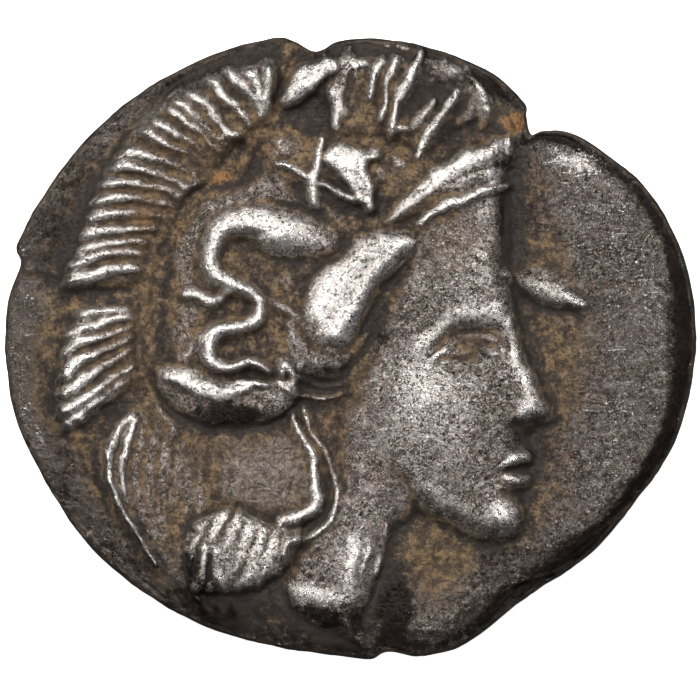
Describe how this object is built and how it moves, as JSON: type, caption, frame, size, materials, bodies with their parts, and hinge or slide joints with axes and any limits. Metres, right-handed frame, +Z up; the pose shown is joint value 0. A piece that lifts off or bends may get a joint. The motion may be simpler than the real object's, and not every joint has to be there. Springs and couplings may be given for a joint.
{
  "type": "ancient silver coin",
  "caption": "Small struck silver coin with an uneven round flan: a helmeted head in high relief on the obverse and a bull in low relief on the reverse.",
  "frame": {"origin": "middle of the flan's outline, on the surface the coin lies on", "axes": "+X to the right of the obverse and along the flan's width, +Y to the top of the obverse, +Z up out of the obverse"},
  "size_m": [0.0124, 0.0112, 0.0016],
  "materials": {
    "silver": "old silver: dark brown-grey toning, worn bright on the raised parts"
  },
  "bodies": {
    "root": {"coin": "silver"}
  },
  "joints": []
}
